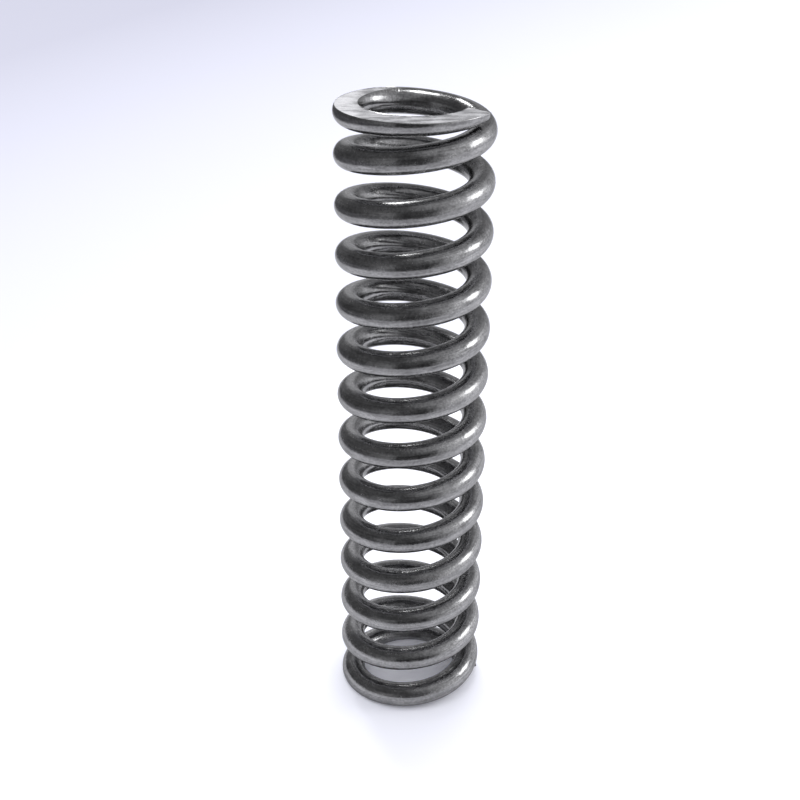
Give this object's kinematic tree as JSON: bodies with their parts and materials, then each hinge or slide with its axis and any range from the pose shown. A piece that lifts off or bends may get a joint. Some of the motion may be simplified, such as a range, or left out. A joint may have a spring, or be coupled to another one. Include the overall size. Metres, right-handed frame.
{
  "type": "compression spring",
  "caption": "Right-hand helical compression spring of round steel wire, with closed and ground flat ends.",
  "frame": {"origin": "centre of the lower ground end, on the coil axis", "axes": "+Z along the coil axis, from the lower ground end to the upper one; +X towards the side where both wire tips end"},
  "size_m": [0.018, 0.018, 0.076],
  "materials": {
    "spring_wire": "bare drawn wire, satin"
  },
  "bodies": {
    "root": {"coil_spring": "spring_wire"}
  },
  "joints": []
}
